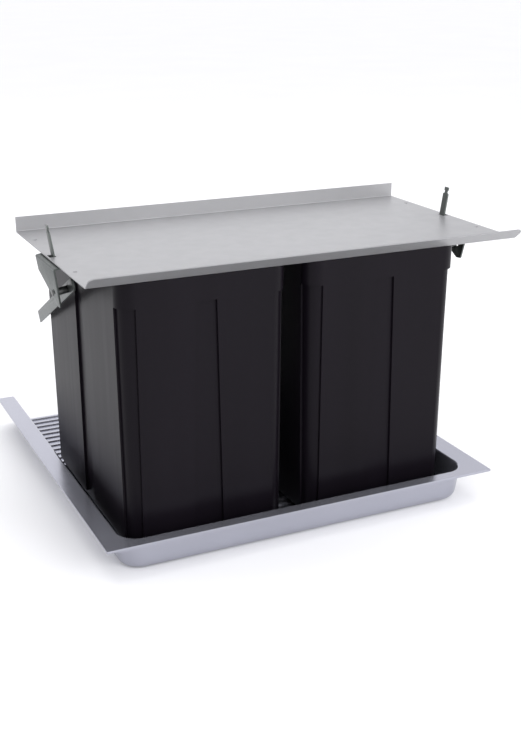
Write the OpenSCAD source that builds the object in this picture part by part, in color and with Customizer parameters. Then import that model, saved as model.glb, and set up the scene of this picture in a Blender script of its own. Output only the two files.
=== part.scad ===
// Pull-out waste sorter for a kitchen cabinet: a drawer tray with two bins standing in it,
// a sheet steel cover lying on the bins' rims, and a bracket with a swinging lever at each end.
// Frame: X along the cover, +Y to the back, +Z up. The origin is under the middle of the
// cover's length and the middle of the tray's depth, on the surface that the tray stands on.

/* [Tray] */
// Depth of the tray, front to back
tray_d = 530; // [420:1:640]
// Height of the tray, underside to flange top
tray_h = 44; // [34:1:60]
// Thickness of the tray's sheet
tray_t = 3; // [2:0.1:4]
// Width of the front flange
flange_front = 17; // [12:1:30]
// Width of the left flange
flange_left = 25; // [12:1:40]
// Width of the right flange
flange_right = 28; // [12:1:40]
// Corner radius of the basin
basin_r = 25; // [12:1:32]
// How far the basin's walls lean in from top to floor
basin_draft = 4; // [1:0.5:8]
// Gap between a bin and the basin wall at flange level
basin_clear = 14.5; // [8:0.5:30]
// Gap between the bins' front and the basin's front wall at flange level
basin_front_clear = 25; // [12:1:40]
// Distance between floor ribs
rib_pitch = 15.7; // [10:0.1:25]
// Height of a floor rib
rib_h = 2; // [1:0.1:3]

/* [Bins] */
// Width of one bin over its rim
bin_w = 208.5; // [170:0.5:250]
// Depth of one bin over its rim
bin_d = 316; // [250:1:350]
// Height of one bin
bin_h = 334; // [260:1:400]
// Gap between the two rims
bin_gap = 25; // [12:1:50]
// Wall thickness
bin_wall = 2.4; // [1.6:0.1:4]
// Outer corner radius of the rim
bin_r = 20; // [12:1:30]
// Height of the rim band
band_h = 30; // [15:1:45]
// How far the rim band and the panels stand proud of the body
band_proud = 3; // [2:0.1:5]
// How far the body narrows on each side from rim to base
bin_draft = 2.5; // [1:0.1:6]
// Width of the recess at each corner of a face
corner_recess = 20; // [16:1:30]
// Width of the middle recess at the top of a face
mid_recess_top = 26; // [16:1:40]
// Width of the middle recess at the foot of a face
mid_recess_foot = 38; // [20:1:60]

/* [Cover] */
// Length of the cover plate
cover_w = 564; // [480:1:700]
// Depth of the cover plate, fold to upstand
cover_d = 300; // [250:1:360]
// Thickness of the cover's sheet
cover_t = 1.5; // [1:0.1:2.5]
// Height of the upstand along the back
upstand_h = 19; // [12:1:30]
// Forward reach of the flared front lip
lip_reach = 16; // [10:1:25]
// Rise of the flared front lip
lip_rise = 14; // [8:1:20]
// Corner radius of the lip
lip_r = 9; // [4:1:12]
// How far the bins stand to the left of the cover's middle
bins_offset = 25; // [0:1:40]
// How far the fold lies behind the front of the rims
fold_setback = 1; // [0:1:12]
// Radius of the four fixing holes
hole_r = 2.5; // [1.5:0.1:4]
// Distance from the cover's end to the fixing holes
hole_inset = 10; // [8:1:20]
// Distance from the fold to the front fixing holes
hole_front = 69; // [50:1:100]
// Distance from the fold to the back fixing holes
hole_back = 242; // [180:1:245]
// Distance from the cover's end to the tongue's centre plane
slot_inset = 8; // [7:1:20]
// Distance from the fold to the slots
slot_front = 152; // [125:1:165]

/* [Brackets] */
// Thickness of the bracket's sheet
bracket_t = 2; // [1.5:0.1:3]
// Angle that the bracket leans outwards in its slot
lean = 8.5; // [0:0.5:10]
// Width of the tongue
tongue_w = 11; // [6:1:14]
// Height of the tongue above the bracket's top
tongue_h = 40; // [25:1:50]
// Width of the head at the tongue's top
head_w = 8; // [5:0.5:12]
// Width of the neck below the head
neck_w = 4.5; // [3:0.5:6]
// Side play of the tongue in its slot
tongue_play = 1; // [0.5:0.1:2]
// Further width of the slot outwards of the tongue
slot_extra = 4; // [2:0.5:5]
// Distance from the tongue's centre plane to the gusset's inner face
gusset_out = 12; // [10:0.5:14]
// Length of the bracket's top in front of the tongue
top_front = 48; // [45:1:55]
// Length of the bracket's top behind the tongue
top_back = 32; // [25:1:45]
// Depth of the gusset's back edge
heel_drop = 19; // [12:1:25]
// Depth of the gusset at its front tip
gusset_drop = 50; // [48:1:60]
// Radius of the screw hole in the gusset
screw_r = 3.2; // [2:0.1:3.5]
// Distance of the screw hole in front of the tongue
screw_front = 29; // [28:1:34]
// Distance of the screw hole below the bracket's top
screw_drop = 32; // [20:1:34]
// Radius of the pivot rivet
rivet_r = 2.5; // [2:0.1:3]
// Distance of the pivot in front of the tongue
pivot_front = 19; // [16:1:20]
// Distance of the pivot below the bracket's top
pivot_drop = 36; // [34:1:38]

/* [Levers] */
// Width of the lever bar
lever_w = 15.5; // [12:0.5:18]
// Thickness of the lever bar
lever_t = 2; // [1.5:0.1:3]
// Distance from the tongue's centre plane in to the lever's inner face
lever_inboard = 6; // [4:0.5:6.5]
// Reach of the lever in front of its pivot
lever_front = 37.5; // [25:0.5:45]
// Reach of the lever behind its pivot
lever_back = 224; // [150:1:230]
// Slope of the lever at rest
lever_slope = 24.7; // [18:0.1:28]

/* [Hidden] */

eps = 0.01;
cut = 1;                                  // overlap of cutting bodies past a face
arc_fn = 48;

zinc = [0.62, 0.63, 0.65];
steel = [0.78, 0.79, 0.79];
tray_grey = [0.60, 0.61, 0.65];
bin_black = [0.13, 0.12, 0.14];

bins_x = -bins_offset;                    // middle of the pair of bins
bin_step = bin_w + bin_gap;
bins_w = 2 * bin_w + bin_gap;
basin_w = bins_w + 2 * basin_clear;       // inside, at flange level
tray_x0 = bins_x - basin_w / 2 - flange_left;
tray_x1 = bins_x + basin_w / 2 + flange_right;
tray_y0 = -tray_d / 2;
basin_y0 = tray_y0 + flange_front;        // inner front wall at flange level
bins_y0 = basin_y0 + basin_front_clear;   // front of the rims
bins_z0 = tray_t + rib_h;                 // the bins stand on the ribs
rim_z = bins_z0 + bin_h;

fold_y = bins_y0 + fold_setback;
cover_top = rim_z + cover_t;
lip_len = sqrt(lip_reach * lip_reach + lip_rise * lip_rise);
lip_angle = atan2(lip_rise, lip_reach);
hole_x = cover_w / 2 - hole_inset;
slot_x = cover_w / 2 - slot_inset;
slot_y = fold_y + slot_front;

flange_in = bracket_t / 2;                // the flange ends at the tongue's inner face
seat_gap = 0.3;
seat_z = rim_z - seat_gap - flange_in * sin(lean);   // bracket's own origin under the plate
rivet_play = 0.08;
spacer_r = rivet_r + 2;
rivet_head_r = rivet_r + 1.7;
rivet_head_t = 1;
lever_in = -lever_inboard;
spacer_len = gusset_out - lever_in - lever_t;
run_gap = 0.3;                            // free gap between lever and rivet head
side_gap = 0.1;                           // free gap between lever and spacer

// Rounded rectangle from [0, 0] to [w, d], true arcs
module rounded(w, d, r) {
    translate([r, 0]) square([w - 2 * r, d]);
    translate([0, r]) square([w, d - 2 * r]);
    for (x = [r, w - r], y = [r, d - r])
        translate([x, y]) circle(r = r, $fn = arc_fn);
}

// A block with rounded upright edges whose foot is smaller than its top by inset on each side
module tapered(w, d, h, r, inset) {
    hull() {
        translate([inset, inset, 0])
            linear_extrude(eps) rounded(w - 2 * inset, d - 2 * inset, r - inset / 2);
        translate([0, 0, h - eps]) linear_extrude(eps) rounded(w, d, r);
    }
}

// ---- tray ----

// The basin runs on past the tray's back end, where the tray is open
module basin(grow, floor_z, top_z) {
    past = basin_r + tray_t + cut;
    translate([bins_x - basin_w / 2 - grow, basin_y0 - grow, floor_z])
        tapered(basin_w + 2 * grow, tray_d - flange_front + past + grow,
            top_z - floor_z, basin_r + grow, basin_draft);
}

module floor_ribs() {
    inset = basin_draft + basin_r / 4;
    count = floor((tray_d - flange_front - 2 * rib_pitch) / rib_pitch);
    rib_w = rib_pitch * 0.45;
    for (i = [0 : count - 1])
        translate([bins_x - basin_w / 2 + inset, tray_d / 2 - (i + 0.5) * rib_pitch, tray_t - eps])
            rotate([90, 0, 90])
                linear_extrude(basin_w - 2 * inset)
                    polygon([[-rib_w / 2, 0], [rib_w / 2, 0], [rib_w / 4, rib_h + eps],
                        [-rib_w / 4, rib_h + eps]]);
}

module tray() {
    color(tray_grey) {
        difference() {
            union() {
                translate([tray_x0, tray_y0, tray_h - tray_t])
                    cube([tray_x1 - tray_x0, tray_d, tray_t]);
                intersection() {
                    basin(tray_t, 0, tray_h);
                    translate([tray_x0, tray_y0, 0])
                        cube([tray_x1 - tray_x0, tray_d, tray_h]);
                }
            }
            basin(0, tray_t, tray_h + eps);
        }
        floor_ribs();
    }
}

// ---- bins ----

// The two raised panels of one face, whose outer side faces -Y and whose top left is the origin
module face_panels(face_w, drop) {
    lean_in = atan(bin_draft / drop);
    mid = face_w / 2;
    top = mid_recess_top / 2;
    foot = mid_recess_foot / 2;
    rotate([lean_in, 0, 0])
        for (side = [-1, 1])
            translate([mid, bin_wall / 2 + band_proud, 0])
                rotate([90, 0, 0])
                    linear_extrude(bin_wall / 2 + band_proud)
                        polygon([[side * top, 0], [side * (mid - corner_recess), 0],
                            [side * (mid - corner_recess), -drop], [side * foot, -drop]]);
}

module bin(x0) {
    body_h = bin_h - band_h;
    panel_foot = 12;
    panel_h = body_h - panel_foot;
    wall_in = band_proud + bin_wall;
    color(bin_black)
        translate([x0, bins_y0, bins_z0]) {
            difference() {
                union() {
                    translate([band_proud, band_proud, 0])
                        tapered(bin_w - 2 * band_proud, bin_d - 2 * band_proud, bin_h,
                            bin_r - band_proud, bin_draft);
                    translate([0, 0, body_h]) linear_extrude(band_h) rounded(bin_w, bin_d, bin_r);
                    translate([0, 0, body_h + eps]) face_panels(bin_w, panel_h);
                    translate([bin_w, bin_d, body_h + eps])
                        rotate([0, 0, 180]) face_panels(bin_w, panel_h);
                    translate([bin_w, 0, body_h + eps])
                        rotate([0, 0, 90]) face_panels(bin_d, panel_h);
                    translate([0, bin_d, body_h + eps])
                        rotate([0, 0, -90]) face_panels(bin_d, panel_h);
                }
                translate([wall_in, wall_in, bin_wall])
                    tapered(bin_w - 2 * wall_in, bin_d - 2 * wall_in, bin_h - bin_wall + cut,
                        bin_r - wall_in, bin_draft);
            }
        }
}

module left_bin() { bin(bins_x - bins_w / 2); }

module right_bin() { bin(bins_x - bins_w / 2 + bin_step); }

// ---- cover ----

module lip() {
    translate([-cover_w / 2, fold_y, cover_top - cover_t])
        rotate([180 - lip_angle, 0, 0])
            translate([0, 0, -cover_t])
                linear_extrude(cover_t) {
                    square([cover_w, lip_len - lip_r]);
                    translate([lip_r, 0]) square([cover_w - 2 * lip_r, lip_len]);
                    for (x = [lip_r, cover_w - lip_r])
                        translate([x, lip_len - lip_r]) circle(r = lip_r, $fn = arc_fn);
                }
}

module cover_plate() {
    slot_w = bracket_t + 2 * tongue_play + slot_extra;
    slot_l = tongue_w + 2 * tongue_play;
    color(steel)
        difference() {
            union() {
                translate([-cover_w / 2, fold_y, rim_z]) cube([cover_w, cover_d, cover_t]);
                translate([-cover_w / 2, fold_y + cover_d - cover_t, rim_z])
                    cube([cover_w, cover_t, cover_t + upstand_h]);
                lip();
                translate([-cover_w / 2, fold_y, cover_top - cover_t / 2])
                    rotate([0, 90, 0]) cylinder(r = cover_t / 2, h = cover_w, $fn = 24);
            }
            for (x = [-hole_x, hole_x], y = [hole_front, hole_back])
                translate([x, fold_y + y, rim_z - cut])
                    cylinder(r = hole_r, h = cover_t + 2 * cut, $fn = arc_fn);
            for (side = [0, 1])
                mirror([side, 0, 0])
                    translate([slot_x - bracket_t / 2 - tongue_play, slot_y - slot_l / 2, rim_z - cut])
                        cube([slot_w, slot_l, cover_t + 2 * cut]);
        }
}

// ---- brackets and levers, drawn upright for the right end: X outwards, origin at the
// ---- tongue's foot on the bracket's top

module seated(side) {
    mirror([side == "left" ? 1 : 0, 0, 0])
        translate([slot_x, slot_y, seat_z]) rotate([0, lean, 0]) children();
}

module pivot_place(x) {
    translate([x, -pivot_front, -pivot_drop]) rotate([0, 90, 0]) children();
}

module tongue() {
    neck_z = tongue_h - 9;
    half = [[tongue_w / 2, -bracket_t], [tongue_w / 2, neck_z], [neck_w / 2, neck_z + 1.5],
        [neck_w / 2, neck_z + 4], [head_w / 2, neck_z + 5], [head_w / 2, tongue_h]];
    other_half = [for (i = [len(half) - 1 : -1 : 0]) [-half[i][0], half[i][1]]];
    translate([-bracket_t / 2, 0, 0])
        rotate([90, 0, 90]) linear_extrude(bracket_t) polygon(concat(half, other_half));
}

module bracket() {
    tip_back = 15;
    tip_front = 6;
    difference() {
        union() {
            translate([gusset_out, 0, 0])
                rotate([90, 0, 90])
                    linear_extrude(bracket_t)
                        polygon([[-top_front, -bracket_t], [top_back, -bracket_t],
                            [top_back, -heel_drop], [tip_back - top_front, -gusset_drop],
                            [tip_front - top_front, -gusset_drop + 1]]);
            translate([-flange_in, -top_front, -bracket_t])
                cube([flange_in + gusset_out + eps, top_front + top_back, bracket_t]);
            translate([gusset_out, top_back, -bracket_t])
                rotate([90, 0, 0]) cylinder(r = bracket_t, h = top_front + top_back, $fn = 32);
            tongue();
        }
        // the bend is open on its inner side
        translate([gusset_out - 2 * bracket_t, -top_front - cut, -3 * bracket_t])
            cube([2 * bracket_t, top_front + top_back + 2 * cut, 2 * bracket_t]);
        pivot_place(gusset_out - cut)
            cylinder(r = rivet_r + rivet_play / 2, h = bracket_t + 2 * cut, $fn = arc_fn);
        translate([gusset_out - cut, -screw_front, -screw_drop])
            rotate([0, 90, 0]) cylinder(r = screw_r, h = bracket_t + 2 * cut, $fn = arc_fn);
    }
}

module lever() {
    half = lever_w / 2;
    end_slant = half * tan(lever_slope);      // the back end is cut upright
    round_y = half - lever_front;
    difference() {
        translate([lever_in, -pivot_front, -pivot_drop])
            rotate([-lever_slope, 0, 0])
                rotate([90, 0, 90])
                    linear_extrude(lever_t) {
                        polygon([[round_y, -half], [lever_back + end_slant, -half],
                            [lever_back - end_slant, half], [round_y, half]]);
                        translate([round_y, 0]) circle(r = half, $fn = arc_fn);
                    }
        pivot_place(lever_in - cut)
            cylinder(r = rivet_r + rivet_play, h = lever_t + 2 * cut, $fn = arc_fn);
    }
}

module pivot_rivet() {
    shank_x0 = lever_in - run_gap;
    shank_x1 = gusset_out + bracket_t;
    pivot_place(shank_x0 - rivet_head_t)
        cylinder(r = rivet_head_r, h = rivet_head_t, $fn = arc_fn);
    pivot_place(shank_x0 - eps)
        cylinder(r = rivet_r, h = shank_x1 - shank_x0 + 2 * eps, $fn = arc_fn);
    pivot_place(shank_x1) cylinder(r = rivet_head_r, h = rivet_head_t, $fn = arc_fn);
}

module pivot_spacer() {
    difference() {
        pivot_place(gusset_out - spacer_len + side_gap)
            cylinder(r = spacer_r, h = spacer_len - side_gap, $fn = arc_fn);
        pivot_place(gusset_out - spacer_len - cut)
            cylinder(r = rivet_r + rivet_play, h = spacer_len + 2 * cut, $fn = arc_fn);
    }
}

module left_bracket() { color(zinc) seated("left") bracket(); }
module right_bracket() { color(zinc) seated("right") bracket(); }
module left_lever() { color(zinc) seated("left") lever(); }
module right_lever() { color(zinc) seated("right") lever(); }
module left_pivot_rivet() { color(steel) seated("left") pivot_rivet(); }
module right_pivot_rivet() { color(steel) seated("right") pivot_rivet(); }
module left_pivot_spacer() { color(steel) seated("left") pivot_spacer(); }
module right_pivot_spacer() { color(steel) seated("right") pivot_spacer(); }

tray();
left_bin();
right_bin();
cover_plate();
left_bracket();
right_bracket();
left_lever();
right_lever();
left_pivot_rivet();
right_pivot_rivet();
left_pivot_spacer();
right_pivot_spacer();
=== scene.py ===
"""The looks of a pull-out waste sorter: drawer tray, two bins, cover plate, brackets and levers.

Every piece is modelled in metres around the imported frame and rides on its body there.
"""

import logging
import math
from contextlib import contextmanager
from dataclasses import dataclass, field
from enum import Enum
from typing import Callable, Iterator, Sequence

import bmesh
import bpy
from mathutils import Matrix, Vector


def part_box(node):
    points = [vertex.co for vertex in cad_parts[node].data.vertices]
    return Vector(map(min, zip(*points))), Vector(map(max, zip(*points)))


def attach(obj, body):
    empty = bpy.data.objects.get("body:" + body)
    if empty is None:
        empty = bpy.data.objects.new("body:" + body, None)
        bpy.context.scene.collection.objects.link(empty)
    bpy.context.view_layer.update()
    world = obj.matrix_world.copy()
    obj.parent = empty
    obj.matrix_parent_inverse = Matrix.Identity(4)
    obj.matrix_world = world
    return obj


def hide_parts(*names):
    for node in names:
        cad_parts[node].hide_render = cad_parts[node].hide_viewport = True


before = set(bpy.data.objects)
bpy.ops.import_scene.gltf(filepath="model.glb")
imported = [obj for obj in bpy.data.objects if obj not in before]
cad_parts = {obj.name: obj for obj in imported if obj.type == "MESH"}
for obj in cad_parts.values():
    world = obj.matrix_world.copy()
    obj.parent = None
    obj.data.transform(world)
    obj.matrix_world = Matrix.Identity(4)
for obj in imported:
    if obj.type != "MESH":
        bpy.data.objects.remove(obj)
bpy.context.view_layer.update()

LOG = logging.getLogger("waste_sorter")
MM = 0.001
NEAR = 1e-5
CREASE = 35
DISC_SIDES = 48
PATTERN_SPAN = (0.3, 0.7)

Test = Callable[[Vector, Vector], bool]


class Side(Enum):
    """The two ends of the cover."""

    LEFT = "left"
    RIGHT = "right"

    @property
    def sign(self) -> int:
        """Returns -1 at the left end and 1 at the right end."""
        return -1 if self is Side.LEFT else 1


class Grain(Enum):
    """How a finish's pattern runs over the surface."""

    EVEN = (1.0, 1.0, 1.0)
    UPRIGHT = (1.0, 1.0, 0.06)


# ---------------------------------------------------------------- modelling


class Shaper:
    """One mesh object, shaped in edit mode with Blender's own tools."""

    def __init__(self, name: str) -> None:
        """Takes the object just added by a primitive operator.

        Args:
            name: The piece's name.
        """
        self.obj = bpy.context.active_object
        self.obj.name = name
        self.obj.data.name = name

    @classmethod
    def block(cls, name: str, low: Sequence[float], high: Sequence[float]) -> "Shaper":
        """Adds a closed block between two corners.

        Args:
            name: The piece's name.
            low: The lowest corner.
            high: The highest corner.

        Returns:
            The shaper that holds it.
        """
        bpy.ops.object.select_all(action="DESELECT")
        middle = [(a + b) / 2 for a, b in zip(low, high)]
        size = [b - a for a, b in zip(low, high)]
        bpy.ops.mesh.primitive_cube_add(size=1, location=middle, scale=size)
        bpy.ops.object.transform_apply(location=True, rotation=True, scale=True)
        return cls(name)

    @classmethod
    def sheet(cls, name: str, low: Sequence[float], high: Sequence[float]) -> "Shaper":
        """Adds a level rectangle, facing up, at the height of its low corner.

        Args:
            name: The piece's name.
            low: The corner with the lowest x and y.
            high: The corner with the highest x and y.

        Returns:
            The shaper that holds it.
        """
        bpy.ops.object.select_all(action="DESELECT")
        middle = ((low[0] + high[0]) / 2, (low[1] + high[1]) / 2, low[2])
        bpy.ops.mesh.primitive_plane_add(size=1, location=middle)
        bpy.context.active_object.scale = (high[0] - low[0], high[1] - low[1], 1)
        bpy.ops.object.transform_apply(location=True, rotation=True, scale=True)
        return cls(name)

    @classmethod
    def disc(cls, name: str, centre: Sequence[float], radius: float, depth: float) -> "Shaper":
        """Adds a short cylinder whose axis runs along X.

        Args:
            name: The piece's name.
            centre: The middle of the disc.
            radius: The disc's radius.
            depth: The disc's thickness along X.

        Returns:
            The shaper that holds it.
        """
        bpy.ops.object.select_all(action="DESELECT")
        bpy.ops.mesh.primitive_cylinder_add(vertices=DISC_SIDES, radius=radius, depth=depth,
                                            location=centre, rotation=(0, math.pi / 2, 0))
        bpy.ops.object.transform_apply(location=True, rotation=True, scale=True)
        return cls(name)

    @contextmanager
    def editing(self) -> Iterator[None]:
        """Opens edit mode on this object alone, with nothing selected."""
        bpy.ops.object.select_all(action="DESELECT")
        bpy.context.view_layer.objects.active = self.obj
        self.obj.select_set(True)
        bpy.ops.object.mode_set(mode="EDIT")
        bpy.ops.mesh.select_all(action="DESELECT")
        try:
            yield
        finally:
            bpy.ops.object.mode_set(mode="OBJECT")

    def pick(self, kind: str, test: Test) -> None:
        """Selects the vertices, edges or faces that pass a test.

        Args:
            kind: VERT, EDGE or FACE.
            test: Gets a place and a direction: a vertex and its normal, an edge's middle
                and its unit direction, or a face's middle and its normal.
        """
        bpy.ops.mesh.select_mode(type=kind)
        bpy.ops.mesh.select_all(action="DESELECT")
        mesh = bmesh.from_edit_mesh(self.obj.data)
        if kind == "FACE":
            mesh.normal_update()
            found = [f for f in mesh.faces if test(f.calc_center_median(), f.normal)]
        elif kind == "EDGE":
            found = []
            for edge in mesh.edges:
                a, b = edge.verts[0].co, edge.verts[1].co
                if test((a + b) / 2, (b - a).normalized()):
                    found.append(edge)
        else:
            found = [v for v in mesh.verts if test(v.co, v.normal)]
        for item in found:
            item.select_set(True)
        mesh.select_flush_mode()
        bmesh.update_edit_mesh(self.obj.data)

    def all(self) -> None:
        """Selects everything."""
        bpy.ops.mesh.select_all(action="SELECT")

    def slice(self, point: Sequence[float], normal: Sequence[float], drop_outer: bool = False) -> None:
        """Cuts what is selected along a plane.

        Args:
            point: A point on the plane.
            normal: The plane's normal.
            drop_outer: Whether the side that the normal points to is cut away and closed.
        """
        bpy.ops.mesh.bisect(plane_co=point, plane_no=normal, use_fill=drop_outer,
                            clear_outer=drop_outer, threshold=NEAR)

    def push(self, move: Sequence[float]) -> None:
        """Extrudes the selected faces or edges by a vector."""
        bpy.ops.mesh.extrude_region_move(TRANSFORM_OT_translate={"value": move})

    def move(self, move: Sequence[float]) -> None:
        """Moves what is selected."""
        bpy.ops.transform.translate(value=move)

    def stretch(self, factors: Sequence[float], centre: Sequence[float]) -> None:
        """Scales what is selected about a centre."""
        bpy.ops.transform.resize(value=factors, center_override=centre)

    def round(self, width: float, segments: int, points: bool = False) -> None:
        """Bevels the selected edges, or the selected points in their plane."""
        bpy.ops.mesh.bevel(offset=width, segments=segments, profile=0.5,
                           affect="VERTICES" if points else "EDGES", clamp_overlap=True)

    def modify(self, kind: str, **settings: object) -> None:
        """Adds a modifier and applies it.

        Args:
            kind: The modifier's type.
            settings: Its properties.
        """
        bpy.ops.object.select_all(action="DESELECT")
        bpy.context.view_layer.objects.active = self.obj
        self.obj.select_set(True)
        modifier = self.obj.modifiers.new(kind.lower(), kind)
        for key, value in settings.items():
            setattr(modifier, key, value)
        bpy.ops.object.modifier_apply(modifier=modifier.name)

    def cut_out(self, cutter: "Shaper") -> None:
        """Cuts another shape out of this one and removes it."""
        self.modify("BOOLEAN", operation="DIFFERENCE", object=cutter.obj, solver="EXACT")
        bpy.data.objects.remove(cutter.obj)

    def tidy(self) -> None:
        """Merges doubles and turns all faces outwards."""
        with self.editing():
            self.all()
            bpy.ops.mesh.remove_doubles(threshold=NEAR)
            bpy.ops.mesh.normals_make_consistent(inside=False)

    def place(self, location: Sequence[float], turn: Sequence[float], scale: Sequence[float]) -> None:
        """Puts the mesh in place and leaves the object at the origin.

        Args:
            location: Where the mesh's own origin goes.
            turn: Its rotation as XYZ angles in radians.
            scale: Its scale on each axis, where -1 mirrors it.
        """
        bpy.ops.object.select_all(action="DESELECT")
        bpy.context.view_layer.objects.active = self.obj
        self.obj.select_set(True)
        self.obj.location = location
        self.obj.rotation_euler = turn
        self.obj.scale = scale
        bpy.ops.object.transform_apply(location=True, rotation=True, scale=True)

    def soften(self, width: float, segments: int = 2, angle: float = 30.0) -> None:
        """Rounds every edge sharper than an angle, then shades the surface smooth.

        Args:
            width: The rounding's width.
            segments: The number of steps across it.
            angle: The least angle of an edge that is rounded, in degrees.
        """
        self.modify("BEVEL", width=width, segments=segments, limit_method="ANGLE",
                    angle_limit=math.radians(angle), use_clamp_overlap=True)
        bpy.ops.object.shade_smooth_by_angle(angle=math.radians(angle))

    def even_shading(self) -> None:
        """Keeps broad flat faces flat to the eye beside their rounded edges."""
        self.modify("WEIGHTED_NORMAL", keep_sharp=True, weight=50)

    def copy(self, name: str, shift: Sequence[float]) -> "Shaper":
        """Copies the piece with a mesh of its own.

        Args:
            name: The copy's name.
            shift: How far the copy is moved.

        Returns:
            The copy's shaper.
        """
        twin = self.obj.copy()
        twin.data = self.obj.data.copy()
        bpy.context.scene.collection.objects.link(twin)
        bpy.ops.object.select_all(action="DESELECT")
        bpy.context.view_layer.objects.active = twin
        twin.select_set(True)
        made = Shaper(name)
        made.place(shift, (0, 0, 0), (1, 1, 1))
        return made


# ---------------------------------------------------------------- finishes


class NodeSheet:
    """A material's nodes, added and linked by short calls."""

    def __init__(self, name: str) -> None:
        """Makes an empty material with one shader.

        Args:
            name: The material's name.
        """
        self.material = bpy.data.materials.new(name)
        self.material.use_nodes = True
        self.tree = self.material.node_tree
        self.shader = self.tree.nodes["Principled BSDF"]
        self.coords = self.add("ShaderNodeTexCoord")

    def add(self, kind: str, **settings: object) -> bpy.types.Node:
        """Adds a node.

        Args:
            kind: The node's type.
            settings: Its properties, or its inputs where a name starts with in_.

        Returns:
            The node.
        """
        node = self.tree.nodes.new(kind)
        for key, value in settings.items():
            if key.startswith("in_"):
                node.inputs[key[3:].replace("_", " ")].default_value = value
            else:
                setattr(node, key, value)
        return node

    def link(self, out: bpy.types.NodeSocket, into: bpy.types.NodeSocket) -> None:
        """Links an output to an input."""
        self.tree.links.new(out, into)

    def stretched(self, grain: Grain) -> bpy.types.NodeSocket:
        """Returns object coordinates, stretched the way the grain runs."""
        mapping = self.add("ShaderNodeMapping")
        mapping.inputs["Scale"].default_value = grain.value
        self.link(self.coords.outputs["Object"], mapping.inputs["Vector"])
        return mapping.outputs["Vector"]

    def noise(self, scale: float, detail: float = 4.0, grain: Grain = Grain.EVEN) -> bpy.types.NodeSocket:
        """Returns a noise pattern.

        Args:
            scale: Its scale per metre.
            detail: Its number of octaves.
            grain: The way it runs.

        Returns:
            The pattern's value socket.
        """
        node = self.add("ShaderNodeTexNoise", in_Scale=scale, in_Detail=detail)
        self.link(self.stretched(grain), node.inputs["Vector"])
        return node.outputs["Fac"]

    def between(self, value: bpy.types.NodeSocket, low: float, high: float) -> bpy.types.NodeSocket:
        """Maps a pattern to a range.

        Args:
            value: The pattern.
            low: The result at the pattern's low end and below.
            high: The result at its high end and above.

        Returns:
            The mapped value.
        """
        node = self.add("ShaderNodeMapRange")
        node.inputs["From Min"].default_value = PATTERN_SPAN[0]
        node.inputs["From Max"].default_value = PATTERN_SPAN[1]
        node.inputs["To Min"].default_value = low
        node.inputs["To Max"].default_value = high
        self.link(value, node.inputs["Value"])
        return node.outputs["Result"]

    def blend(self, value: bpy.types.NodeSocket, first: Sequence[float],
              second: Sequence[float]) -> bpy.types.NodeSocket:
        """Blends two colours by a pattern.

        Args:
            value: The pattern, from 0 to 1.
            first: The colour at 0.
            second: The colour at 1.

        Returns:
            The colour socket.
        """
        node = self.add("ShaderNodeValToRGB")
        ramp = node.color_ramp.elements
        ramp[0].position, ramp[1].position = 0.25, 0.75
        ramp[0].color = (*first, 1)
        ramp[1].color = (*second, 1)
        self.link(value, node.inputs["Fac"])
        return node.outputs["Color"]

    def bump(self, layers: Sequence[tuple[bpy.types.NodeSocket, float]]) -> None:
        """Stacks bumps on the shader's normal.

        Args:
            layers: Pairs of a height pattern and its height in metres.
        """
        under = None
        for height, depth in layers:
            node = self.add("ShaderNodeBump", in_Strength=1.0, in_Distance=depth)
            self.link(height, node.inputs["Height"])
            if under is not None:
                self.link(under, node.inputs["Normal"])
            under = node.outputs["Normal"]
        self.link(under, self.shader.inputs["Normal"])


def tint(colour: Sequence[float], by: float) -> tuple[float, float, float]:
    """Returns a colour made lighter or darker by a factor."""
    return tuple(min(1.0, part * by) for part in colour)


@dataclass(frozen=True)
class Finish:
    """A surface: its colour, gloss and the patterns that break it up."""

    name: str
    colour: tuple[float, float, float]
    metallic: float
    roughness: float
    spread: float = 0.06
    rough_spread: float = 0.05
    patch_scale: float = 9.0
    grain: Grain = Grain.EVEN
    grain_scale: float = 1200.0
    grain_depth: float = 0.00002
    wave_scale: float = 14.0
    wave_depth: float = 0.0002
    specular: float = 0.5

    def material(self) -> bpy.types.Material:
        """Returns the finish as a material."""
        sheet = NodeSheet(self.name)
        shader = sheet.shader
        shader.inputs["Metallic"].default_value = self.metallic
        shader.inputs["Specular IOR Level"].default_value = self.specular
        patches = sheet.noise(self.patch_scale, 5.0, self.grain)
        sheet.link(sheet.blend(patches, tint(self.colour, 1 - self.spread),
                               tint(self.colour, 1 + self.spread)), shader.inputs["Base Color"])
        fine = sheet.noise(self.patch_scale * 6, 6.0, self.grain)
        sheet.link(sheet.between(fine, self.roughness - self.rough_spread,
                                 self.roughness + self.rough_spread), shader.inputs["Roughness"])
        sheet.bump([(sheet.noise(self.wave_scale, 2.0), self.wave_depth),
                    (sheet.noise(self.grain_scale, 3.0), self.grain_depth)])
        return sheet.material


@dataclass(frozen=True)
class Finishes:
    """The finishes of this object."""

    cover: Finish = Finish("cover_silver_coat", (0.295, 0.295, 0.303), 0.5, 0.38, spread=0.015,
                           rough_spread=0.03, wave_scale=5, wave_depth=0.00002,
                           grain_scale=700, grain_depth=0.000001)
    tray: Finish = Finish("tray_silver_plastic", (0.38, 0.385, 0.44), 0.8, 0.22, spread=0.03,
                          rough_spread=0.03, wave_scale=9, wave_depth=0.0001,
                          grain_scale=1600, grain_depth=0.000008)
    bins: Finish = Finish("bin_black_plastic", (0.0055, 0.0042, 0.0065), 0.0, 0.36, spread=0.2,
                          rough_spread=0.02, grain=Grain.UPRIGHT, patch_scale=14, wave_scale=7,
                          wave_depth=0.0003, grain_scale=1500, specular=0.085)
    zinc: Finish = Finish("zinc_plate", (0.09, 0.1, 0.095), 0.75, 0.40, spread=0.16,
                          patch_scale=90, grain_scale=900)
    rivet: Finish = Finish("bright_steel", (0.12, 0.122, 0.12), 1.0, 0.40, spread=0.08,
                           patch_scale=160, grain_scale=1800)


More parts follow.
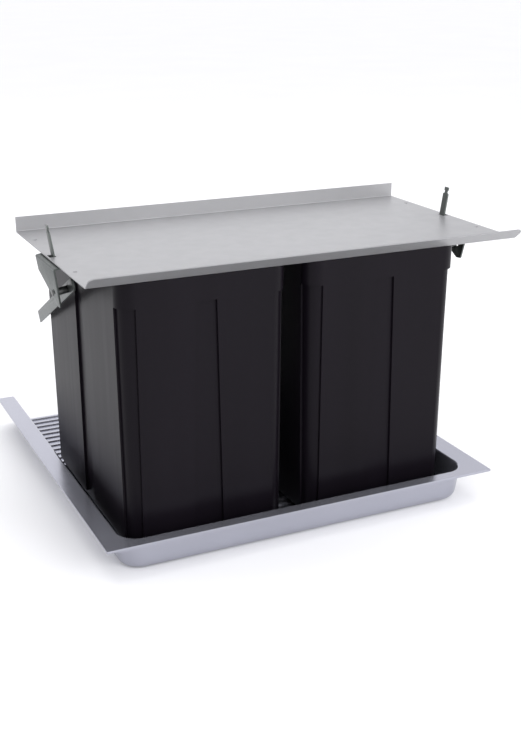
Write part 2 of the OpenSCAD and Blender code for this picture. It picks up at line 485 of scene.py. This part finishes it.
def dress(piece: Shaper, material: bpy.types.Material, body: str, slot: str, *nodes: str) -> None:
    """Finishes a piece and fixes it to the frame.

    Args:
        piece: The piece.
        material: Its finish.
        body: The body that it rides on.
        slot: The name of a material slot; not used.
        nodes: The CAD nodes that it stands for.
    """
    piece.obj.data.materials.clear()
    piece.obj.data.materials.append(material)
    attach(piece.obj, body)
    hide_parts(*nodes)
    LOG.info("%s: %d faces on %s", piece.obj.name, len(piece.obj.data.polygons), body)


# ---------------------------------------------------------------- sub-assemblies


@dataclass
class Bins:
    """The two rectangular bins, one modelled and one copied."""

    wall: float = 2.4 * MM
    proud: float = 3 * MM
    band: float = 30 * MM
    draft: float = 2.5 * MM
    corner: float = 17 * MM
    foot_round: float = 6 * MM
    corner_recess: float = 20 * MM
    recess_top: float = 26 * MM
    recess_foot: float = 38 * MM
    panel_foot: float = 12 * MM
    edge: float = 1.1 * MM

    def shell(self, name: str, low: Vector, high: Vector) -> Shaper:
        """Models one bin.

        Args:
            name: The piece's name.
            low: The lowest corner of the bin over its rim.
            high: The highest corner.

        Returns:
            The bin.
        """
        inner_low = (low.x + self.proud, low.y + self.proud, low.z)
        inner_high = (high.x - self.proud, high.y - self.proud, high.z)
        middle = (Vector(inner_low) + Vector(inner_high)) / 2
        half = (Vector(inner_high) - Vector(inner_low)) / 2
        bin_ = Shaper.block(name, inner_low, inner_high)
        band_z = high.z - self.band
        foot_z = low.z + self.panel_foot
        with bin_.editing():
            bin_.pick("VERT", lambda p, n: p.z < low.z + NEAR)
            bin_.stretch((1 - self.draft / half.x, 1 - self.draft / half.y, 1), middle)
            bin_.pick("EDGE", lambda p, d: abs(d.z) > 0.9)
            bin_.round(self.corner, 10)
            bin_.pick("EDGE", lambda p, d: p.z < low.z + NEAR and abs(d.z) < 0.1)
            bin_.round(self.foot_round, 5)
            bin_.all()
            bin_.slice((0, 0, band_z), (0, 0, 1))
            bin_.all()
            bin_.slice((0, 0, foot_z), (0, 0, 1))
            self.mark_panels(bin_, middle, half, band_z, foot_z)
            bin_.pick("FACE", lambda p, n: self.is_raised(p, n, middle, half, band_z, foot_z))
            bpy.ops.mesh.extrude_region_shrink_fatten(
                TRANSFORM_OT_shrink_fatten={"value": self.proud, "use_even_offset": True})
            bin_.pick("FACE", lambda p, n: n.z > 0.9 and p.z > high.z - NEAR)
            bpy.ops.mesh.delete(type="FACE")
        return bin_

    def mark_panels(self, bin_: Shaper, middle: Vector, half: Vector, band_z: float,
                    foot_z: float) -> None:
        """Cuts the panels' edges into the walls.

        Args:
            bin_: The bin.
            middle: The middle of the body.
            half: Half its size.
            band_z: The height of the band's lower edge.
            foot_z: The height of the panels' lower edge.
        """
        drop = band_z - foot_z
        spread = (self.recess_foot - self.recess_top) / 2
        for axis in (0, 1):
            across = Vector((1, 0, 0)) if axis == 0 else Vector((0, 1, 0))
            for side in (-1, 1):
                edge = middle + across * side * (half[axis] - self.corner_recess + self.proud)
                self.cut_walls(bin_, axis, edge, across, band_z, foot_z)
                inner = middle.copy()
                inner += across * side * self.recess_top / 2
                inner.z = band_z
                tilt = (across * drop + Vector((0, 0, side * spread))).normalized()
                self.cut_walls(bin_, axis, inner, tilt, band_z, foot_z)

    def cut_walls(self, bin_: Shaper, axis: int, point: Vector, normal: Vector, band_z: float,
                  foot_z: float) -> None:
        """Cuts the two walls that face across an axis, between the band and the panels' foot.

        Args:
            bin_: The bin.
            axis: 0 to cut the front and back walls, 1 to cut the side walls.
            point: A point on the cut.
            normal: The cut's normal.
            band_z: The height of the band's lower edge.
            foot_z: The height of the panels' lower edge.
        """
        facing = 1 - axis
        bin_.pick("FACE", lambda p, n: abs(n[facing]) > 0.99 and foot_z < p.z < band_z)
        bin_.slice(point, normal)

    def is_raised(self, place: Vector, normal: Vector, middle: Vector, half: Vector,
                  band_z: float, foot_z: float) -> bool:
        """Returns whether a wall face belongs to the rim band or to a panel."""
        if abs(normal.z) > 0.9 or place.z < foot_z:
            return False
        if place.z > band_z:
            return True
        for axis in (0, 1):
            if abs(normal[1 - axis]) > 0.99:
                off = abs(place[axis] - middle[axis])
                inner = (self.recess_top + self.recess_foot) / 4
                outer = half[axis] - self.corner_recess + self.proud
                return inner < off < outer
        return False

    def build(self, material: bpy.types.Material) -> None:
        """Models both bins and dresses them."""
        low, high = (Vector(corner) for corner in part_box("left_bin"))
        left = self.shell("left_bin_shell", low, high)
        left.tidy()
        left.modify("SOLIDIFY", thickness=self.wall, offset=-1.0, use_even_offset=True)
        left.soften(self.edge, 3, 28)
        left.even_shading()
        right = left.copy("right_bin_shell", Vector(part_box("right_bin")[0]) - low)
        dress(left, material, "left_bin", "bin_plastic", "left_bin")
        dress(right, material, "right_bin", "bin_plastic", "right_bin")


@dataclass
class Tray:
    """The thermoformed drawer tray, open at the back, with a ribbed floor."""

    sheet_t: float = 3 * MM
    clear: float = 14.5 * MM
    front_clear: float = 25 * MM
    draft: float = 4 * MM
    corner: float = 25 * MM
    rib_pitch: float = 15.7 * MM
    rib_h: float = 2 * MM
    rib_fill: float = 0.45
    brim_round: float = 3 * MM
    floor_round: float = 8 * MM
    edge: float = 0.6 * MM
    rib_inset: float = 2 * MM
    basin: dict[str, float] = field(default_factory=dict)

    def measure(self) -> None:
        """Works out the basin's place from the frame."""
        low, high = (Vector(corner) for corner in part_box("tray"))
        left_bin, right_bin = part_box("left_bin"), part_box("right_bin")
        self.basin = {
            "x0": left_bin[0][0] - self.clear,
            "x1": right_bin[1][0] + self.clear,
            "y0": left_bin[0][1] - self.front_clear,
            "back": high.y,
            "top": high.z,
            "floor": low.z + self.sheet_t,
        }

    def build(self, material: bpy.types.Material) -> None:
        """Models the tray and dresses it."""
        self.measure()
        low, high = (Vector(corner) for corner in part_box("tray"))
        at = self.basin
        tray = Shaper.sheet("drawer_tray", (low.x, low.y, high.z), (high.x, high.y, high.z))
        with tray.editing():
            for point, normal in (((at["x0"], 0, 0), (1, 0, 0)), ((at["x1"], 0, 0), (1, 0, 0)),
                                  ((0, at["y0"], 0), (0, 1, 0))):
                tray.all()
                tray.slice(point, normal)
            tray.pick("FACE", lambda p, n: at["x0"] < p.x < at["x1"] and p.y > at["y0"])
            tray.push((0, 0, at["floor"] - at["top"]))
            tray.pick("FACE", lambda p, n: p.y > at["back"] - NEAR and abs(n.y) > 0.9)
            bpy.ops.mesh.delete(type="ONLY_FACE")
            self.lean_walls(tray)
            tray.pick("EDGE", lambda p, d: abs(d.z) > 0.8 and p.y < at["back"] - self.corner)
            tray.round(self.corner, 10)
            tray.pick("EDGE", lambda p, d: self.on_fold(p, at["top"]))
            tray.round(self.brim_round, 3)
            tray.pick("EDGE", lambda p, d: self.on_fold(p, at["floor"]))
            tray.round(self.floor_round, 5)
            self.raise_ribs(tray)
        tray.tidy()
        tray.modify("SOLIDIFY", thickness=self.sheet_t, offset=-1.0, use_even_offset=True)
        with tray.editing():
            tray.pick("VERT", lambda p, n: p.z < low.z + self.rib_h / 4)
            tray.stretch((1, 1, 0), (0, 0, low.z))
        tray.soften(self.edge, 2, CREASE)
        tray.even_shading()
        dress(tray, material, "tray", "tray_plastic", "tray")

    def lean_walls(self, tray: Shaper) -> None:
        """Leans the basin's three walls inwards to the floor."""
        at = self.basin
        floor = at["floor"] + NEAR
        for test, move in (
            (lambda p, n: p.z < floor and p.x < at["x0"] + NEAR, (self.draft, 0, 0)),
            (lambda p, n: p.z < floor and p.x > at["x1"] - NEAR, (-self.draft, 0, 0)),
            (lambda p, n: p.z < floor and p.y < at["y0"] + NEAR, (0, self.draft, 0)),
        ):
            tray.pick("VERT", test)
            tray.move(move)

    def on_fold(self, place: Vector, height: float) -> bool:
        """Returns whether an edge lies on the basin's outline at a height."""
        at = self.basin
        if abs(place.z - height) > NEAR or place.y > at["back"] - NEAR:
            return False
        reach = self.corner + self.draft
        side = min(place.x - at["x0"], at["x1"] - place.x)
        front = place.y - at["y0"]
        inside = side > -NEAR and front > -NEAR
        near_wall = side < self.draft + NEAR or front < self.draft + NEAR
        in_corner = side < reach and front < reach
        return inside and (near_wall or in_corner)

    def raise_ribs(self, tray: Shaper) -> None:
        """Cuts the ribs' outlines into the floor and pushes them up."""
        at = self.basin
        inset = self.draft + self.floor_round + self.rib_inset
        count = int((at["back"] - at["y0"] - 2 * self.rib_pitch) / self.rib_pitch)
        half = self.rib_pitch * self.rib_fill / 2
        middles = [at["back"] - (i + 0.5) * self.rib_pitch for i in range(count)]

        def floor_face(place: Vector, normal: Vector) -> bool:
            """Returns whether a face lies in the floor."""
            return normal.z > 0.99 and abs(place.z - at["floor"]) < NEAR

        for x in (at["x0"] + inset, at["x1"] - inset):
            tray.pick("FACE", floor_face)
            tray.slice((x, 0, 0), (1, 0, 0))
        for middle in middles:
            for side in (-1, 1):
                tray.pick("FACE", floor_face)
                tray.slice((0, middle + side * half, 0), (0, 1, 0))

        def rib_face(place: Vector, normal: Vector) -> bool:
            """Returns whether a floor face is the top of a rib."""
            if not floor_face(place, normal):
                return False
            if not at["x0"] + inset < place.x < at["x1"] - inset:
                return False
            return any(abs(place.y - middle) < half * 0.9 for middle in middles)

        tray.pick("FACE", rib_face)
        tray.push((0, 0, self.rib_h))
        for middle in middles:
            tray.pick("VERT", lambda p, n: abs(p.z - at["floor"] - self.rib_h) < NEAR
                      and abs(p.y - middle) < half + NEAR)
            tray.stretch((1 - 4 * self.rib_h / (at["x1"] - at["x0"]), 0.5, 1),
                         ((at["x0"] + at["x1"]) / 2, middle, 0))


@dataclass
class Cover:
    """The folded sheet steel cover with its upstand, lip, holes and slots."""

    sheet_t: float = 1.5 * MM
    lip_reach: float = 16 * MM
    lip_rise: float = 13.6 * MM
    lip_corner: float = 9 * MM
    fold_round: float = 1.0 * MM
    hole_r: float = 2.5 * MM
    hole_inset: float = 10 * MM
    hole_front: float = 69 * MM
    hole_back: float = 242 * MM
    slot_inset: float = 8 * MM
    slot_front: float = 152 * MM
    slot_in: float = 2 * MM
    slot_out: float = 6 * MM
    slot_l: float = 13 * MM
    slot_cut: float = 5 * MM
    hole_cut: float = 8 * MM
    hole_sides: int = 40
    edge: float = 0.3 * MM

    def build(self, material: bpy.types.Material) -> None:
        """Models the cover and dresses it."""
        low, high = (Vector(corner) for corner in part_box("cover_plate"))
        top = low.z + self.sheet_t
        fold = low.y + self.lip_reach
        back = high.y - self.sheet_t
        cover = Shaper.sheet("cover_sheet", (low.x, fold, top), (high.x, back, top))
        with cover.editing():
            cover.pick("EDGE", lambda p, d: p.y > back - NEAR)
            cover.push((0, 0, high.z - top))
            cover.pick("EDGE", lambda p, d: p.y < fold + NEAR)
            cover.push((0, -self.lip_reach, self.lip_rise))
            cover.pick("VERT", lambda p, n: p.y < fold - NEAR)
            cover.round(self.lip_corner, 8, points=True)
            cover.pick("EDGE", lambda p, d: abs(d.x) > 0.99 and abs(p.z - top) < NEAR)
            cover.round(self.fold_round, 5)
        cover.tidy()
        self.face_up(cover)
        cover.modify("SOLIDIFY", thickness=self.sheet_t, offset=-1.0, use_even_offset=True)
        self.pierce(cover, low, high, fold, top)
        cover.soften(self.edge, 2, CREASE)
        cover.even_shading()
        dress(cover, material, "cover", "cover_steel", "cover_plate")

    def face_up(self, cover: Shaper) -> None:
        """Turns the sheet's faces so that the plate's face up."""
        faces = cover.obj.data.polygons
        widest = max(faces, key=lambda face: face.area)
        if widest.normal.z < 0:
            with cover.editing():
                cover.all()
                bpy.ops.mesh.flip_normals()

    def pierce(self, cover: Shaper, low: Vector, high: Vector, fold: float, top: float) -> None:
        """Cuts the four fixing holes and the two slots.

        Args:
            cover: The cover.
            low: Its lowest corner.
            high: Its highest corner.
            fold: Where the front fold is.
            top: The height of the plate's top.
        """
        for side in Side:
            end = high.x if side is Side.RIGHT else low.x
            for along in (self.hole_front, self.hole_back):
                centre = (end - side.sign * self.hole_inset, fold + along, top)
                bpy.ops.object.select_all(action="DESELECT")
                bpy.ops.mesh.primitive_cylinder_add(vertices=self.hole_sides, radius=self.hole_r,
                                                    depth=self.hole_cut, location=centre)
                bpy.ops.object.transform_apply(location=True, rotation=True, scale=True)
                cover.cut_out(Shaper("hole_cutter"))
            slot_x = end - side.sign * self.slot_inset
            ends = sorted((slot_x - side.sign * self.slot_in, slot_x + side.sign * self.slot_out))
            slot_y = fold + self.slot_front
            cover.cut_out(Shaper.block(
                "slot_cutter", (ends[0], slot_y - self.slot_l / 2, top - self.slot_cut),
                (ends[1], slot_y + self.slot_l / 2, top + self.slot_cut)))


@dataclass
class Hanger:
    """A bracket with its lever, rivet and spacer, drawn upright for the right end.

    Its own origin is the foot of the tongue, on the bracket's top, with X outwards.
    """

    lean: float = math.radians(8.5)
    sheet_t: float = 2 * MM
    tongue_w: float = 11 * MM
    tongue_h: float = 40 * MM
    neck_w: float = 4.5 * MM
    head_w: float = 8 * MM
    neck_z: float = 31 * MM
    gusset_x: float = 12 * MM
    front: float = 48 * MM
    back: float = 32 * MM
    heel_drop: float = 19 * MM
    drop: float = 50 * MM
    screw_y: float = -29 * MM
    screw_z: float = -32 * MM
    screw_r: float = 3.2 * MM
    pivot_y: float = -19 * MM
    pivot_z: float = -36 * MM
    rivet_r: float = 2.5 * MM
    lever_in: float = -6 * MM
    lever_w: float = 15.5 * MM
    lever_front: float = 37.5 * MM
    lever_back: float = 224 * MM
    slope: float = math.radians(24.7)
    spacer_r: float = 4.5 * MM
    play: float = 0.3 * MM
    side_play: float = 0.1 * MM
    rivet_play: float = 0.08 * MM
    tip_back: float = 15 * MM
    tip_front: float = 6 * MM
    tip_rise: float = MM
    tip_round: float = 1.2 * MM
    neck_foot: float = 1.5 * MM
    neck_head: float = 4 * MM
    head_rise: float = 5 * MM
    rivet_head: float = MM
    rivet_brim: float = 1.7 * MM
    turned_edge: float = 0.2 * MM
    edge: float = 0.25 * MM

    def seat(self, piece: Shaper, side: Side) -> None:
        """Leans a piece in its slot at one end of the cover.

        Args:
            piece: The piece, drawn upright.
            side: The end that it goes to.
        """
        low, high = (Vector(corner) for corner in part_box("cover_plate"))
        slot_x = high.x - Cover.slot_inset
        slot_y = low.y + Cover.lip_reach + Cover.slot_front
        seat_z = low.z - self.play - self.sheet_t / 2 * math.sin(self.lean)
        piece.place((side.sign * slot_x, slot_y, seat_z), (0, side.sign * self.lean, 0),
                    (side.sign, 1, 1))
        piece.tidy()

    def gusset(self, name: str) -> Shaper:
        """Models the bracket: gusset, top flange and tongue in one bent sheet.

        Args:
            name: The piece's name.

        Returns:
            The bracket, upright.
        """
        t = self.sheet_t
        plate = Shaper.block(name, (self.gusset_x, -self.front, -self.drop),
                             (self.gusset_x + t, self.back, -t))
        corners = [Vector((0, y, z)) for y, z in (
            (self.back, -t), (self.back, -self.heel_drop),
            (self.tip_back - self.front, -self.drop),
            (self.tip_front - self.front, self.tip_rise - self.drop), (-self.front, -t))]
        with plate.editing():
            for start, end in zip(corners, corners[1:]):
                run = end - start
                plate.all()
                plate.slice(start, Vector((0, -run.z, run.y)), drop_outer=True)
            plate.pick("EDGE", lambda p, d: abs(d.x) > 0.9 and p.z < -self.heel_drop / 2)
            plate.round(self.tip_round, 3)
        flange = Shaper.block("flange", (-t / 2, -self.front, -t),
                              (self.gusset_x + t, self.back, 0))
        with flange.editing():
            flange.pick("EDGE", lambda p, d: abs(d.y) > 0.9 and p.x > self.gusset_x
                        and p.z > -t / 2)
            flange.round(t * 0.95, 5)
        for part in (flange, self.tongue()):
            plate.modify("BOOLEAN", operation="UNION", object=part.obj, solver="EXACT")
            bpy.data.objects.remove(part.obj)
        middle_x = self.gusset_x + t / 2
        plate.cut_out(Shaper.disc("rivet_hole", (middle_x, self.pivot_y, self.pivot_z),
                                  self.rivet_r, 3 * t))
        plate.cut_out(Shaper.disc("screw_hole", (middle_x, self.screw_y, self.screw_z),
                                  self.screw_r, 3 * t))
        plate.soften(self.edge, 2, CREASE)
        return plate

    def tongue(self) -> Shaper:
        """Models the upright tongue with its neck and its small head.

        Returns:
            The tongue, upright.
        """
        t = self.sheet_t
        tongue = Shaper.block("tongue", (-t / 2, -self.tongue_w / 2, -t / 2),
                              (t / 2, self.tongue_w / 2, self.tongue_h))
        low, high = self.neck_z + self.neck_foot, self.neck_z + self.neck_head
        head_z = self.neck_z + self.head_rise
        with tongue.editing():
            for z in (self.neck_z, low, high, head_z):
                tongue.all()
                tongue.slice((0, 0, z), (0, 0, 1))
            tongue.pick("VERT", lambda p, n: low - NEAR < p.z < high + NEAR)
            tongue.stretch((1, self.neck_w / self.tongue_w, 1), (0, 0, 0))
            tongue.pick("VERT", lambda p, n: p.z > head_z - NEAR)
            tongue.stretch((1, self.head_w / self.tongue_w, 1), (0, 0, 0))
        return tongue

    def bar(self, name: str) -> Shaper:
        """Models the lever, a flat bar with a round front end.

        Args:
            name: The piece's name.

        Returns:
            The lever, upright.
        """
        inner, half = self.lever_in, self.lever_w / 2
        slant = half * math.tan(self.slope)
        lever = Shaper.block(name, (inner, -self.lever_front, -half),
                             (inner + self.sheet_t, self.lever_back + slant, half))
        with lever.editing():
            lever.all()
            lever.slice((0, self.lever_back, 0), (0, math.cos(self.slope), math.sin(self.slope)),
                        drop_outer=True)
            lever.pick("EDGE", lambda p, d: abs(d.x) > 0.9 and p.y < -self.lever_front + NEAR)
            lever.round(half * 0.999, 12)
        lever.place((0, self.pivot_y, self.pivot_z), (-self.slope, 0, 0), (1, 1, 1))
        lever.cut_out(Shaper.disc("hole", (inner + MM, self.pivot_y, self.pivot_z),
                                  self.rivet_r + self.rivet_play, 3 * self.sheet_t))
        lever.soften(self.edge, 2, CREASE)
        return lever

    def rivet(self, name: str) -> Shaper:
        """Models the pivot rivet with its two domed heads.

        Args:
            name: The piece's name.

        Returns:
            The rivet, upright.
        """
        inner = self.lever_in - self.play
        outer = self.gusset_x + self.sheet_t
        at = (self.pivot_y, self.pivot_z)
        rivet = Shaper.disc(name, ((inner + outer) / 2, *at), self.rivet_r, outer - inner)
        for side, x in ((-1, inner), (1, outer)):
            with rivet.editing():
                rivet.pick("FACE", lambda p, n: n.x * side > 0.9 and abs(p.x - x) < NEAR)
                bpy.ops.mesh.extrude_region_move()
                grow = 1 + self.rivet_brim / self.rivet_r
                rivet.stretch((1, grow, grow), (x, *at))
                for step, shrink in ((0.35, 0.98), (0.35, 0.82), (0.3, 0.45)):
                    rivet.push((side * self.rivet_head * step, 0, 0))
                    rivet.stretch((1, shrink, shrink), (x, *at))
        rivet.soften(self.turned_edge, 2, CREASE)
        return rivet

    def sleeve(self, name: str) -> Shaper:
        """Models the spacer between lever and gusset.

        Args:
            name: The piece's name.

        Returns:
            The spacer, upright.
        """
        start = self.lever_in + self.sheet_t + self.side_play
        length = self.gusset_x - start
        at = (start + length / 2, self.pivot_y, self.pivot_z)
        spacer = Shaper.disc(name, at, self.spacer_r, length)
        spacer.cut_out(Shaper.disc("hole", at, self.rivet_r + self.rivet_play, 2 * length))
        spacer.soften(self.turned_edge, 2, CREASE)
        return spacer

    def build(self, side: Side, zinc: bpy.types.Material, steel: bpy.types.Material) -> None:
        """Models one end's bracket, lever, rivet and spacer and dresses them.

        Args:
            side: The end of the cover.
            zinc: The finish of bracket and lever.
            steel: The finish of rivet and spacer.
        """
        end = side.value
        bracket_body = f"{end}_bracket"
        for make, part, body, slot, node, finish in (
            (self.gusset, "bracket_sheet", bracket_body, "zinc_steel", "bracket", zinc),
            (self.bar, "lever_bar", f"{end}_lever", "zinc_steel", "lever", zinc),
            (self.rivet, "rivet", bracket_body, "rivet_steel", "pivot_rivet", steel),
            (self.sleeve, "spacer", bracket_body, "rivet_steel", "pivot_spacer", steel),
        ):
            piece = make(f"{end}_{part}")
            self.seat(piece, side)
            bpy.ops.object.shade_smooth_by_angle(angle=math.radians(CREASE))
            dress(piece, finish, body, slot, f"{end}_{node}")


# ---------------------------------------------------------------- studio


@dataclass
class Studio:
    """The floor, lights and camera."""

    place: tuple[float, float, float] = (-0.614, -1.366, 0.668)
    turn: float = math.radians(25.26)
    pitch: float = math.radians(20.06)
    lens: float = 54.3
    floor_size: float = 30.0

    def camera(self) -> None:
        """Adds the camera."""
        data = bpy.data.cameras.new("camera")
        data.lens = self.lens
        data.sensor_width = 36
        camera = bpy.data.objects.new("camera", data)
        camera.location = self.place
        camera.rotation_euler = (math.pi / 2 - self.pitch, 0, -self.turn)
        bpy.context.scene.collection.objects.link(camera)
        bpy.context.scene.camera = camera

    def floor(self) -> None:
        """Adds the plain pale floor, just below the object."""
        ground = Shaper.sheet("floor", (-self.floor_size, -self.floor_size, -0.2 * MM),
                              (self.floor_size, self.floor_size, 0))
        sheet = NodeSheet("floor_white")
        sheet.shader.inputs["Roughness"].default_value = 0.7
        sheet.link(sheet.blend(sheet.noise(2.0), (0.86, 0.86, 0.865), (0.88, 0.88, 0.885)),
                   sheet.shader.inputs["Base Color"])
        ground.obj.data.materials.append(sheet.material)

    def lamp(self, name: str, place: Sequence[float], aim: Sequence[float], size: float,
             power: float) -> None:
        """Adds a soft square light.

        Args:
            name: The light's name.
            place: Where it hangs.
            aim: Where it points.
            size: Its side.
            power: Its power in watts.
        """
        data = bpy.data.lights.new(name, "AREA")
        data.size = size
        data.energy = power
        light = bpy.data.objects.new(name, data)
        light.location = place
        light.rotation_euler = (Vector(aim) - Vector(place)).to_track_quat("-Z", "Y").to_euler()
        bpy.context.scene.collection.objects.link(light)

    def lights(self) -> None:
        """Adds the soft boxes and the pale surroundings."""
        self.lamp("top_box", (0.1, 0.6, 2.4), (0, 0, 0.2), 2.4, 16)
        self.lamp("left_box", (-2.2, -0.8, 1.5), (0, 0, 0.2), 1.6, 6)
        self.lamp("front_box", (0.9, -2.4, 1.2), (0, 0, 0.2), 1.5, 34)
        self.lamp("right_box", (2.0, -0.9, 0.9), (0.1, 0, 0.15), 0.9, 7)
        self.lamp("back_box", (0.9, 2.6, 1.2), (0, 0, 0.34), 1.8, 3)
        world = bpy.data.worlds.new("studio")
        world.use_nodes = True
        world.node_tree.nodes["Background"].inputs["Color"].default_value = (0.97, 0.97, 1.0, 1)
        world.node_tree.nodes["Background"].inputs["Strength"].default_value = 1.15
        bpy.context.scene.world = world
        bpy.context.scene.view_settings.view_transform = "Standard"

    def build(self) -> None:
        """Adds the whole studio."""
        self.camera()
        self.floor()
        self.lights()


def main() -> None:
    """Builds the studio and every sub-assembly."""
    logging.basicConfig(level=logging.INFO, format="%(name)s %(message)s")
    finishes = Finishes()
    Studio().build()
    Tray().build(finishes.tray.material())
    Bins().build(finishes.bins.material())
    Cover().build(finishes.cover.material())
    zinc, steel = finishes.zinc.material(), finishes.rivet.material()
    for side in Side:
        Hanger().build(side, zinc, steel)


if __name__ == "__main__":
    main()
